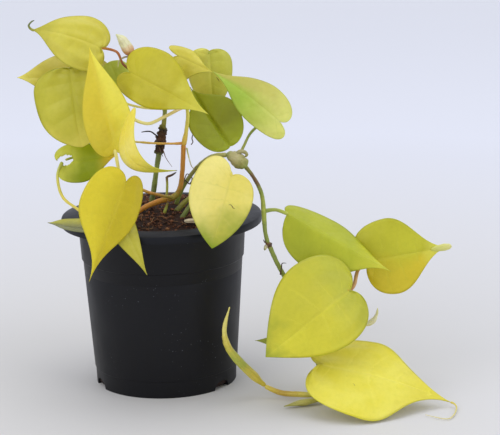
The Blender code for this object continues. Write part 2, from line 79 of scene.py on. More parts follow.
# Light: three soft boxes round the plant and a pale room behind them
room = dict(colour=tone(226, 229, 240), strength=0.9, aim=(0.03, -0.02, 0.1))
softBoxes = {
    "boxLeft": dict(place=(-1.0, -0.9, 1.1), size=1.1, power=6.5, colour=(1.0, 0.985, 0.96)),
    "boxRight": dict(place=(1.1, -0.8, 0.9), size=0.9, power=4.0, colour=(1.0, 0.99, 0.97)),
    "boxTop": dict(place=(0.1, 0.3, 1.5), size=1.3, power=6.5, colour=(0.97, 0.98, 1.0)),
}

world = bpy.data.worlds.new("room")
world.use_nodes = True
sky = world.node_tree.nodes["Background"]
sky.inputs["Color"].default_value = (*room["colour"], 1)
sky.inputs["Strength"].default_value = room["strength"]
bpy.context.scene.world = world
for name, box in softBoxes.items():
    lamp = bpy.data.lights.new(name, "AREA")
    lamp.size = box["size"]
    lamp.energy = box["power"]
    lamp.color = box["colour"]
    lampObject = addObject(name, lamp)
    lampObject.location = box["place"]
    aim = Vector(room["aim"]) - Vector(box["place"])
    lampObject.rotation_euler = aim.to_track_quat("-Z", "Y").to_euler()
print("camera and lights set")


# Small helpers for node materials


def newMaterial(name, roughness=0.5):
    material = bpy.data.materials.new(name)
    material.use_nodes = True
    shader = material.node_tree.nodes["Principled BSDF"]
    shader.inputs["Roughness"].default_value = roughness
    return material, material.node_tree, shader


def addNode(tree, kind, values=None, **settings):
    node = tree.nodes.new(kind)
    for key, value in settings.items():
        setattr(node, key, value)
    for key, value in (values or {}).items():
        if isinstance(value, bpy.types.NodeSocket):
            tree.links.new(value, node.inputs[key])
        else:
            node.inputs[key].default_value = value
    return node


def doMath(tree, operation, first, second=0.0):
    return addNode(tree, "ShaderNodeMath", {0: first, 1: second}, operation=operation).outputs[0]


def ramp(tree, value, low, high, start=0.0, end=1.0):
    # a value between low and high becomes one between start and end
    keys = {"Value": value, "From Min": low, "From Max": high, "To Min": start, "To Max": end}
    return addNode(tree, "ShaderNodeMapRange", keys).outputs["Result"]


def blendTones(tree, share, first, second, how="MIX"):
    def socketValue(colour):
        return colour if isinstance(colour, bpy.types.NodeSocket) else (*colour, 1)

    keys = {0: share, 6: socketValue(first), 7: socketValue(second)}
    return addNode(tree, "ShaderNodeMix", keys, data_type="RGBA", blend_type=how).outputs[2]


def objectSpot(tree):
    return addNode(tree, "ShaderNodeTexCoord").outputs["Object"]


def cloud(tree, scale, detail=3.0, roughness=0.55, vector=None):
    vector = vector or objectSpot(tree)
    keys = {"Vector": vector, "Scale": scale, "Detail": detail, "Roughness": roughness}
    return addNode(tree, "ShaderNodeTexNoise", keys).outputs["Fac"]


def readValue(tree, name):
    return addNode(tree, "ShaderNodeAttribute", attribute_name=name).outputs["Fac"]


def addBump(tree, shader, height, strength, distance):
    keys = {"Height": height, "Strength": strength, "Distance": distance}
    bump = addNode(tree, "ShaderNodeBump", keys)
    tree.links.new(bump.outputs["Normal"], shader.inputs["Normal"])


def setGlow(shader, weight, reach):
    # light that enters the living tissue and comes out again nearby
    shader.inputs["Subsurface Weight"].default_value = weight
    shader.inputs["Subsurface Scale"].default_value = reach
    shader.inputs["Subsurface Radius"].default_value = (1.0, 0.85, 0.25)


# Floor: grey paper under the pot whose colour is painted paler further out, painted light that stands
# in for the brightly lit pale wall
floor = dict(size=8.0, near=tone(211, 209, 205), far=tone(230, 232, 240),
             paintedLightBeyond=tone(250, 251, 255), fade=(0.12, 0.8), paintedLightFade=(0.7, 2.0))

floorMesh = bpy.data.meshes.new("floor")
floorShape = bmesh.new()
bmesh.ops.create_grid(floorShape, x_segments=8, y_segments=8, size=floor["size"] / 2)
floorShape.to_mesh(floorMesh)
floorShape.free()
floorObject = addObject("floor", floorMesh)
paper, tree, shader = newMaterial("floorPaper", 0.7)
spot = objectSpot(tree)
away = addNode(tree, "ShaderNodeVectorMath", {0: spot}, operation="LENGTH").outputs["Value"]
# painted light: the colour grows paler with distance from the pot, making up for the lamps' light that
# falls off further out
middle = blendTones(tree, ramp(tree, away, *floor["fade"]), floor["near"], floor["far"])
wide = blendTones(tree, ramp(tree, away, *floor["paintedLightFade"]), middle, floor["paintedLightBeyond"])
tree.links.new(wide, shader.inputs["Base Color"])
floorMesh.materials.append(paper)


def finishPiece(name, shape, material, nodes=(), slot=None):
    # hands a finished bmesh to the frame: its body and the nodes that it stands for
    mesh = bpy.data.meshes.new(name)
    shape.to_mesh(mesh)
    shape.free()
    mesh.shade_smooth()
    mesh.materials.append(material)
    piece = addObject(name, mesh)
    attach(piece, "root")
    if nodes:
        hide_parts(*nodes)
    slot or slotOf[nodes[0]]
    return piece


# Pot: a thin moulded shell, turned from its half section, with three arches cut for drainage
pot = dict(sides=144, wall=1.2, base=1.3, lipFace=4.2, lipDome=1.5, lipWall=1.5, throat=100.6,
           step=97.6, stepHeight=76.4, stepDepth=0.8, lineHeight=69.6, lineDepth=0.25, foot=84.8,
           footHeight=10.5, footDepth=0.5, footDraft=0.4, rounding=0.35,
           drainAngles=(-67, 53.5, 173.5), drainWidth=13, drainHeight=5, drainReach=9,
           # the lip tone is a painted reflection: the lip is tinted bluer and lighter as if it caught
           # the pale room; the flow marks take the same tint
           colour=tone(16, 16, 19), lipSheenAndFlowTone=tone(17, 19, 25), dust=tone(110, 112, 120))


def wallRadius(height):
    # outside radius, in millimetres, between the foot band and the step
    low = pot["foot"] / 2 + pot["footDraft"] + pot["footDepth"]
    high = pot["step"] / 2 - pot["stepDepth"]
    share = (height - pot["footHeight"]) / (pot["stepHeight"] - pot["footHeight"])
    return low + (high - low) * share


potLow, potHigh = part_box("pot")
potTop = potHigh[2] / mm
lipRadius = (potHigh[0] - potLow[0]) / 2 / mm
throatHeight = potTop - pot["lipDome"] - pot["lipWall"]


def innerRadius(height):
    if height < pot["stepHeight"]:
        return wallRadius(height) - pot["wall"]
    share = (height - pot["stepHeight"]) / (throatHeight - pot["stepHeight"])
    low = wallRadius(pot["stepHeight"])
    return low + (pot["throat"] / 2 - low) * share - pot["wall"]


def makePot():
    throat, foot, line = pot["throat"] / 2, pot["foot"] / 2, pot["lineHeight"]
    shoulder = potTop - pot["lipDome"]
    skirt = shoulder - pot["lipFace"]
    insideLip = lipRadius - pot["lipWall"]
    halfSection = (
        (0, pot["base"]), (innerRadius(pot["base"]), pot["base"]),
        (innerRadius(pot["stepHeight"]), pot["stepHeight"]),
        (innerRadius(throatHeight), throatHeight), (throat - 0.6, potTop - 0.5),
        (throat + 0.3, potTop), (throat + 1.6, potTop - 0.05),
        ((throat + lipRadius) / 2, potTop - 0.45), (lipRadius - 1.2, potTop - 1.1),
        (lipRadius - 0.35, shoulder), (lipRadius, shoulder - 0.7), (lipRadius, skirt),
        (insideLip, skirt), (insideLip, throatHeight), (throat, throatHeight),
        (pot["step"] / 2, pot["stepHeight"] + pot["stepDepth"]),
        (wallRadius(pot["stepHeight"]), pot["stepHeight"]),
        (wallRadius(line + 0.6), line + 0.6), (wallRadius(line) - pot["lineDepth"], line),
        (wallRadius(line - 0.6), line - 0.6), (wallRadius(pot["footHeight"]), pot["footHeight"]),
        (foot + pot["footDraft"], pot["footHeight"] - pot["footDepth"]), (foot, 0.0), (0, 0))
    shell = bmesh.new()
    corners = [shell.verts.new((radius * mm, 0, height * mm)) for radius, height in halfSection]
    edges = [shell.edges.new(pair) for pair in zip(corners, corners[1:])]
    bmesh.ops.spin(shell, geom=corners + edges, cent=(0, 0, 0), axis=(0, 0, 1),
                   angle=math.radians(360), steps=pot["sides"], use_merge=True)
    bmesh.ops.remove_doubles(shell, verts=shell.verts, dist=0.01 * mm)
    bmesh.ops.recalc_face_normals(shell, faces=shell.faces)
    piece = finishPiece("nurseryPot", shell, potMaterial(), ["pot"])
    cutters = []
    for angle in pot["drainAngles"]:
        turn = math.radians(angle)
        outward = Vector((math.sin(turn), -math.cos(turn), 0))
        beside = Vector((math.cos(turn), math.sin(turn), 0))
        arch = bmesh.new()
        bmesh.ops.create_cone(arch, cap_ends=True, segments=48, radius1=1, radius2=1, depth=1)
        size = Matrix.Diagonal((pot["drainWidth"] / 2, pot["drainHeight"], pot["drainReach"]))
        facing = Matrix((beside, Vector((0, 0, 1)), outward)).transposed()
        arch.transform((facing @ size * mm).to_4x4())
        bmesh.ops.translate(arch, verts=arch.verts, vec=outward * foot * mm)
        bmesh.ops.recalc_face_normals(arch, faces=arch.faces)
        mesh = bpy.data.meshes.new("arch")
        arch.to_mesh(mesh)
        arch.free()
        cutter = addObject("arch", mesh)
        cut = piece.modifiers.new("arch", "BOOLEAN")
        cut.operation = "DIFFERENCE"
        cut.object = cutter
        cutters.append(cutter)
    bpy.context.view_layer.update()
    evaluated = piece.evaluated_get(bpy.context.evaluated_depsgraph_get())
    finished = bpy.data.meshes.new_from_object(evaluated)
    piece.modifiers.clear()
    piece.data = finished
    for cutter in cutters:
        bpy.data.objects.remove(cutter, do_unlink=True)
    rounding = piece.modifiers.new("rounding", "BEVEL")
    rounding.width = pot["rounding"] * mm
    rounding.segments = 2
    rounding.limit_method = "ANGLE"
    rounding.angle_limit = math.radians(30)
    rounding.harden_normals = False


def potMaterial():
    # black moulded plastic: satin, with faint flow marks, scuffs, a little dust and a painted bluish
    # reflection on the lip
    material, tree, shader = newMaterial("blackPlastic")
    spot = objectSpot(tree)
    height = addNode(tree, "ShaderNodeSeparateXYZ", {0: spot}).outputs["Z"]
    # painted reflection: towards the top the plastic is tinted bluer and lighter, where the lip
    # catches the pale room
    lip = ramp(tree, height, (potTop - 14) * mm, (potTop - 2) * mm)
    stretched = addNode(tree, "ShaderNodeMapping", {0: spot, 3: (1, 1, 0.06)}).outputs[0]
    flow = cloud(tree, 160, 2, 0.5, stretched)
    blotch = cloud(tree, 30, 4, 0.6, spot)
    base = blendTones(tree, lip, pot["colour"], pot["lipSheenAndFlowTone"])
    worn = blendTones(tree, ramp(tree, flow, 0.35, 0.75, 0, 0.25), base, pot["lipSheenAndFlowTone"])
    specks = cloud(tree, 900, 1, 0.4, spot)
    where = doMath(tree, "MULTIPLY", ramp(tree, specks, 0.74, 0.78), ramp(tree, blotch, 0.5, 0.62))
    dusty = blendTones(tree, doMath(tree, "MULTIPLY", where, 0.6), worn, pot["dust"])
    tree.links.new(dusty, shader.inputs["Base Color"])
    gloss = ramp(tree, blotch, 0.3, 0.7, 0.36, 0.5)
    satin = doMath(tree, "ADD", gloss, ramp(tree, flow, 0.3, 0.8, 0, 0.08))
    tree.links.new(satin, shader.inputs["Roughness"])
    shader.inputs["Specular IOR Level"].default_value = 0.22
    pores = cloud(tree, 1400, 2, 0.5, spot)
    grain = doMath(tree, "ADD", pores, doMath(tree, "MULTIPLY", flow, 0.8))
    addBump(tree, shader, grain, 0.12, 0.0002)
    return material


makePot()
print("pot turned")

# Soil: a mound of dark peat with crumbs, fibres, perlite and bits of bark
soil = dict(belowRim=6.6, mound=13.0, gap=0.3, clear=1.6, cells=120, lumps=1.1, lumpSize=7,
            grit=0.45, gritPitch=1.3, edgeFade=4, sink=0.4, crumbs=1900, crumbSink=0.18,
            perlite=70, fibres=110, bark=46, seed=5,
            dark=tone(30, 17, 12), warm=tone(104, 60, 38), pale=tone(196, 184, 164),
            fibre=tone(176, 136, 92), chip=tone(206, 184, 140))


def soilHeight(x, y):
    edge = potTop - soil["belowRim"]
    share = min(1.0, math.hypot(x, y) / innerRadius(edge))
    return edge + soil["mound"] * (1 - share**3)


def soilSurface(x, y):
    lump = noise.fractal(Vector((x, y, 3)) / soil["lumpSize"], 0.8, 2.1, 5) * soil["lumps"]
    grit = noise.noise(Vector((x, y, 9)) * soil["gritPitch"]) * soil["grit"]
    toWall = innerRadius(potTop - soil["belowRim"]) - math.hypot(x, y)
    edge = min(1.0, toWall / soil["edgeFade"])
    return soilHeight(x, y) + (lump + grit) * max(0.15, edge) - soil["sink"]


def soilMaterial(name, first, second, rough=0.9):
    material, tree, shader = newMaterial(name, rough)
    patch = cloud(tree, 240, 5, 0.7)
    grain = cloud(tree, 1500, 3, 0.7)
    mixed = blendTones(tree, ramp(tree, patch, 0.35, 0.68), first, second)
    shade = readValue(tree, "shade")
    base = blendTones(tree, 0.55, mixed, first)
    lit = blendTones(tree, shade, base, second)
    dark = blendTones(tree, ramp(tree, grain, 0.35, 0.6, 0.7, 0), lit, first)
    tree.links.new(dark, shader.inputs["Base Color"])
    addBump(tree, shader, doMath(tree, "ADD", patch, grain), 0.6, 0.0006)
    return material


def makeSoil():
    edge = potTop - soil["belowRim"]
    rim = innerRadius(edge) - soil["gap"]
    ground = bmesh.new()
    bmesh.ops.create_grid(ground, x_segments=soil["cells"], y_segments=soil["cells"], size=1)
    for corner in ground.verts:
        u, v = corner.co.x, corner.co.y
        x = u * math.sqrt(1 - v * v / 2) * rim
        y = v * math.sqrt(1 - u * u / 2) * rim
        corner.co = Vector((x, y, soilSurface(x, y))) * mm
    around = [side for side in ground.edges if side.is_boundary]
    for height in (edge - 3, pot["stepHeight"], pot["base"] + soil["gap"]):
        grown = bmesh.ops.extrude_edge_only(ground, edges=around)["geom"]
        around = [item for item in grown if isinstance(item, bmesh.types.BMEdge)]
        radius = (innerRadius(height) - soil["gap"]) * mm
        for corner in {corner for side in around for corner in side.verts}:
            flat = corner.co.xy.normalized() * radius
            corner.co = (flat.x, flat.y, height * mm)
    bmesh.ops.contextual_create(ground, geom=around)
    bmesh.ops.recalc_face_normals(ground, faces=ground.faces)
    peat = soilMaterial("peat", soil["dark"], soil["warm"])
    finishPiece("pottingSoil", ground, peat, ["soil"])


def scatterOnSoil(count, chance):
    # seeded places, spread evenly over the mound
    rim = innerRadius(potTop - soil["belowRim"]) - soil["clear"]
    for _ in range(count):
        angle = chance.uniform(0, math.tau)
        reach = rim * math.sqrt(chance.random())
        yield reach * math.cos(angle), reach * math.sin(angle)


def looseTurn(chance):
    turn = Matrix.Rotation(chance.uniform(0, math.tau), 4, "Z")
    return turn @ Matrix.Rotation(chance.uniform(0, math.pi), 4, "X")


def makeCrumbs(name, count, sizes, squash, material, jag):
    chance = random.Random(soil["seed"] + count)
    heap = bmesh.new()
    shade = heap.verts.layers.float.new("shade")
    for x, y in scatterOnSoil(count, chance):
        size = chance.uniform(*sizes) * chance.uniform(0.7, 1.0)
        height = soilSurface(x, y) + size * soil["crumbSink"]
        place = Matrix.Translation(Vector((x, y, height)) * mm)
        stretch = Matrix.Diagonal((size * mm, size * squash[0] * mm, size * squash[1] * mm, 1))
        matrix = place @ looseTurn(chance) @ stretch
        made = bmesh.ops.create_icosphere(heap, subdivisions=1, radius=0.5, matrix=matrix)
        tint = chance.random() ** 2
        for corner in made["verts"]:
            corner[shade] = tint
            corner.co += Vector([chance.uniform(-jag, jag) * size * mm for _ in range(3)])
    finishPiece(name, heap, material, slot="peat")


def makeSoilBits():
    peat = soilMaterial("peatCrumbs", tone(30, 17, 12), tone(176, 112, 72))
    makeCrumbs("peatCrumbs", soil["crumbs"], (0.8, 2.9), (0.75, 0.5), peat, 0.12)
    white = soilMaterial("perlite", tone(190, 184, 172), tone(236, 232, 222), 0.8)
    makeCrumbs("perliteGrains", soil["perlite"], (0.5, 1.3), (0.9, 0.8), white, 0.12)
    barkTones = soilMaterial("barkBits", tone(70, 40, 26), tone(190, 134, 88))
    makeCrumbs("barkBits", soil["bark"], (2.2, 5.0), (0.45, 0.28), barkTones, 0.1)


makeSoil()
makeSoilBits()
print("soil filled")


# Stems: a ring is extruded along a smooth route and turned with it


def smoothRoute(points, radii, step):
    dense = []
    for index in range(len(points) - 1):
        before, start = points[max(index - 1, 0)], points[index]
        end, after = points[index + 1], points[min(index + 2, len(points) - 1)]
        pieces = max(4, math.ceil((end - start).length / step))
        for part in range(pieces):
            t = part / pieces
            place = (2 * start + (end - before) * t + (2 * before - 5 * start + 4 * end - after) * t**2
                     + (3 * start - before - 3 * end + after) * t**3) / 2
            ease = t * t * (3 - 2 * t)
            dense.append((place, radii[index] + (radii[index + 1] - radii[index]) * ease))
    dense.append((points[-1], radii[-1]))
    return dense


def layer(shape, name):
    floats = shape.verts.layers.float
    return floats.get(name) or floats.new(name)


def sweep(shape, route, radii, sides=14, step=1.2, flat=1.0, tint=0.5):
    # route and radii in millimetres; the ring is narrowed at both ends so that they are round
    for name in ("along", "around", "shade"):
        layer(shape, name)
    along, around, shade = (layer(shape, name) for name in ("along", "around", "shade"))
    steps = smoothRoute([Vector(point) for point in route], radii, step)
    lengths = [0.0]
    for (first, _), (second, _) in zip(steps, steps[1:]):
        lengths.append(lengths[-1] + (second - first).length)
    whole = lengths[-1]
    heading = (steps[1][0] - steps[0][0]).normalized()
    turn = heading.to_track_quat("Z", "Y")
    placed, ring, edges = [], None, None
    for index, (place, radius) in enumerate(steps):
        following = steps[min(index + 1, len(steps) - 1)][0] - steps[max(index - 1, 0)][0]
        following.normalize()
        turn = heading.rotation_difference(following) @ turn
        heading = following
        near = min(lengths[index], whole - lengths[index]) / max(radius, 0.05)
        cap = math.sqrt(max(0.0, 1 - (1 - min(1.0, near)) ** 2))
        size = max(radius * max(cap, 0.25), 0.04) * mm
        matrix = Matrix.Translation(place * mm) @ turn.to_matrix().to_4x4()
        matrix = matrix @ Matrix.Diagonal((size, size * flat, size, 1))
        if ring is None:
            ring = bmesh.ops.create_circle(shape, cap_ends=True, segments=sides, radius=1,
                                           matrix=matrix)["verts"]
            for number, corner in enumerate(ring):
                corner[around] = number / sides
            edges = list({side for corner in ring for side in corner.link_edges})
        else:
            grown = bmesh.ops.extrude_edge_only(shape, edges=edges)["geom"]
            edges = [item for item in grown if isinstance(item, bmesh.types.BMEdge)]
            ring = [item for item in grown if isinstance(item, bmesh.types.BMVert)]
            bmesh.ops.transform(shape, matrix=matrix @ placed[-1].inverted(), verts=ring)
        for corner in ring:
            corner[along] = lengths[index] / whole
            corner[shade] = tint
        placed.append(matrix)
    bmesh.ops.contextual_create(shape, geom=edges)


def roughen(shape, amount, scale, seed=0.0, ridges=0, ridge=0.0):
    # lumps over the whole surface and, if asked for, long ridges round it
    bmesh.ops.recalc_face_normals(shape, faces=shape.faces)
    shape.normal_update()
    around = layer(shape, "around")
    for corner in shape.verts:
        lump = noise.fractal(corner.co / mm / scale + Vector((seed, 0, 0)), 0.9, 2.0, 3) * amount
        if ridges:
            lump += math.cos(corner[around] * math.tau * ridges) * ridge
        corner.co += corner.normal * lump * mm


def stemMaterial(name, tones, streak=0.35, rough=0.42, bump=0.25, glow=0.15, fleck=0.5):
    # tones are red, green and blue up to 255, spaced along the stem from its start to its end
    material, tree, shader = newMaterial(name, rough)
    along = readValue(tree, "along")
    spot = objectSpot(tree)
    patch = cloud(tree, 260, 4, 0.6, spot)
    place = doMath(tree, "ADD", along, ramp(tree, patch, 0.3, 0.7, -0.08, 0.08))
    scale = addNode(tree, "ShaderNodeValToRGB", {0: place})
    marks = scale.color_ramp.elements
    while len(marks) < len(tones):
        marks.new(0.5)
    for number, colour in enumerate(tones):
        marks[number].position = number / max(1, len(tones) - 1)
        marks[number].color = (*tone(*colour), 1)
    lines = doMath(tree, "MULTIPLY", readValue(tree, "around"), 9)
    wavy = doMath(tree, "ADD", lines, doMath(tree, "MULTIPLY", patch, 1.5))
    thread = doMath(tree, "PINGPONG", wavy, 0.5)
    dark = blendTones(tree, 1.0, scale.outputs[0], (0.62, 0.58, 0.45), "MULTIPLY")
    streaked = blendTones(tree, ramp(tree, thread, 0.28, 0.5, 0, streak), scale.outputs[0], dark)
    flecks = cloud(tree, 1100, 2, 0.5, spot)
    flecked = blendTones(tree, ramp(tree, flecks, 0.62, 0.72, 0, fleck), streaked, dark)
    tree.links.new(flecked, shader.inputs["Base Color"])
    tree.links.new(ramp(tree, patch, 0.3, 0.7, rough - 0.06, rough + 0.1), shader.inputs["Roughness"])
    addBump(tree, shader, doMath(tree, "ADD", thread, patch), bump, 0.0004)
    setGlow(shader, glow, 0.0012)
    return material


orange, rust, brown = (205, 140, 45), (176, 104, 44), (112, 74, 42)
yellow, paleYellow, olive = (222, 204, 82), (232, 220, 120), (146, 140, 50)
stemGreen, oldGreen, lime = (138, 152, 62), (112, 124, 66), (180, 188, 74)
cream, black, barkBrown = (226, 222, 176), (38, 32, 30), (62, 48, 30)

# Routes and radii in millimetres. Each stem reaches into the one that it grows from.
stems = {
    "stem_middle": dict(
        route=((-16, -25, 104), (-14, -24, 108), (-8, -21, 111.5), (0, -18, 114), (8, -17, 116),
               (12, -17, 121), (14, -18, 133), (15, -19, 148)),
        radii=(1.3, 1.3, 1.5, 1.6, 1.9, 1.5, 1.35, 1.4),
        tones=(rust, orange, orange, olive, orange, orange, orange)),
    "stem_middle_upper": dict(
        route=((15, -19, 147), (15.6, -19.3, 150), (17, -20, 157), (18, -20, 166),
               (17, -16, 176)), radii=(1.4, 1.5, 1.1, 1.05, 0.8),
        tones=((226, 184, 76), (228, 210, 92), (224, 214, 92), lime)),
    "stem_old": dict(
        route=((-6, -4, 104), (-5.5, -4, 110), (-4, -5, 118), (-2, -5, 130), (0, -5, 141)),
        radii=(1.7, 1.6, 1.6, 1.45, 1.7), tones=(oldGreen, oldGreen, stemGreen, oldGreen)),
    "bark_node": dict(
        route=((-0.2, -5, 138.5), (0, -5, 141), (0.6, -5, 144), (1, -5, 147.5), (2, -5, 152),
               (3, -5, 157.5)), radii=(1.5, 2.2, 2.4, 3.0, 2.6, 1.5),
        tones=(oldGreen, (70, 46, 30), (46, 34, 24), (96, 62, 38), (46, 34, 24), olive),
        rough=(1.3, 1.7), sides=32, step=0.4, bump=0.9, matte=0.75, glow=0.0),
    "stem_upper": dict(
        route=((3, -5, 156), (3.6, -5, 160), (4, -5, 168), (1, -5, 180), (-7, -5, 190),
               (-13, -7, 197), (-14.5, -7.5, 200)), radii=(1.5, 1.35, 1.3, 1.2, 1.1, 1.0, 0.9),
        tones=(olive, stemGreen, stemGreen, lime, lime)),
    "runner_left": dict(
        route=((15, -19, 148.5), (8, -22, 149), (0, -23, 149.5), (-12, -20, 150), (-24, -5, 148),
               (-40, -2, 142), (-56, -4, 137)), radii=(0.9, 0.65, 0.6, 0.6, 0.7, 0.8, 0.7),
        tones=(orange, (226, 180, 80), paleYellow, yellow, paleYellow, lime)),
    "vine_upper": dict(
        route=((8, -8, 105), (10, -9, 112), (14, -10, 121), (22, -14, 132.5), (31, -21, 140.5),
               (40.5, -26.6, 142.5)), radii=(1.4, 1.3, 1.25, 1.2, 1.2, 1.4),
        tones=(oldGreen, stemGreen, (156, 154, 84), (164, 160, 92), (170, 166, 92))),
    "vine_bud": dict(
        route=((39.5, -26, 142), (42, -27, 141.8), (46, -28, 140), (49, -29.2, 137.8),
               (51.6, -30.3, 135.2)), radii=(1.3, 2.8, 4.4, 3.9, 1.8),
        tones=(stemGreen, (172, 164, 108), (188, 178, 124), (160, 156, 84), stemGreen),
        rough=(0.6, 2.6), sides=24, step=0.6),
    "vine_middle": dict(
        route=((50, -29.6, 137), (51, -30, 136), (56, -31, 129), (60, -32, 120), (61, -33, 110),
               (61.5, -35, 99), (63, -36, 91.5)), radii=(1.2, 1.2, 1.1, 1.2, 1.45, 1.2, 1.3),
        tones=(stemGreen, brown, stemGreen, lime, stemGreen, stemGreen)),
    "vine_ring": dict(
        route=((62.9, -36, 92.4), (63.2, -36, 91.2), (63.5, -36, 90.5), (63.9, -36, 89.6),
               (64.3, -36, 88.6)), radii=(1.3, 1.7, 2.1, 1.7, 1.2),
        tones=(olive, brown, barkBrown, brown, olive), step=0.3, sides=20, rough=(0.2, 1.0)),
    "vine_lower": dict(
        route=((63.8, -36, 90), (64.2, -36, 89), (68, -37, 80), (73, -38, 70), (80, -40, 54),
               (87, -44, 34), (92, -48, 16), (94, -52, 6), (93, -55, 3)),
        radii=(1.2, 1.35, 1.3, 1.35, 1.5, 1.2, 1.2, 1.4, 1.5),
        tones=(stemGreen, stemGreen, olive, stemGreen, lime)),
}


def makeStem(name, spec):
    shape = bmesh.new()
    sweep(shape, spec["route"], spec["radii"], spec.get("sides", 16), spec.get("step", 1.0))
    amount, scale = spec.get("rough", (0.14, 3.0))
    roughen(shape, amount, scale, len(name), 5, 0.05)
    material = stemMaterial(name + "Skin", spec["tones"], rough=spec.get("matte", 0.42),
                            bump=spec.get("bump", 0.3), glow=spec.get("glow", 0.15))
    finishPiece(name + "_live", shape, material, [name])


for name, spec in stems.items():
    makeStem(name, spec)
print("stems grown")

# Leaves: notch and tip of each blade, where its face looks and how its halves are shaped. Most
# outlines are a few millimetres off the frame's blades. Then the living detail: how its edge
# waves, its veins sink and its tip curls, in millimetres, and its colours.
bladeForm = dict(lobe=(0.15, 0.15), widest=0.24, blunt=0.16, drip=0, arch=0, hook=0, fold=0,
                 cup=1.5, wave=0.55, waves=2.5, puff=0.22, veins=13, rib=0.35, pleat=0.25,
                 ribTone=0.42, curl=0.0, thick=0.42, tipFrom=0.62, tipTo=0.96, bite=None)
bladeCells = dict(columns=34, rows=84, gather=1.45)
bladeOutline = dict(lobeShare=0.45, notch=(0.12, -1.5), ear=(0.94, -1.6), flank=1.05,
                    shoulder=0.32, taper=0.74, taperBlunt=0.22, gather=2.2, sweep=0.1)
relief = dict(lag=1.7, margin=1.05, valley=0.6, ribWidth=1.1, creases=11, creaseLag=1.2,
              creaseReach=0.5, creaseFade=0.3, curlFrom=0.82, curlSpan=0.18)
leafPaints = ("main", "second", "rightTone", "baseTone", "tipTone", "veinTone")
biteEdge = dict(pitch=0.45, ragged=1.2, squash=0.6)
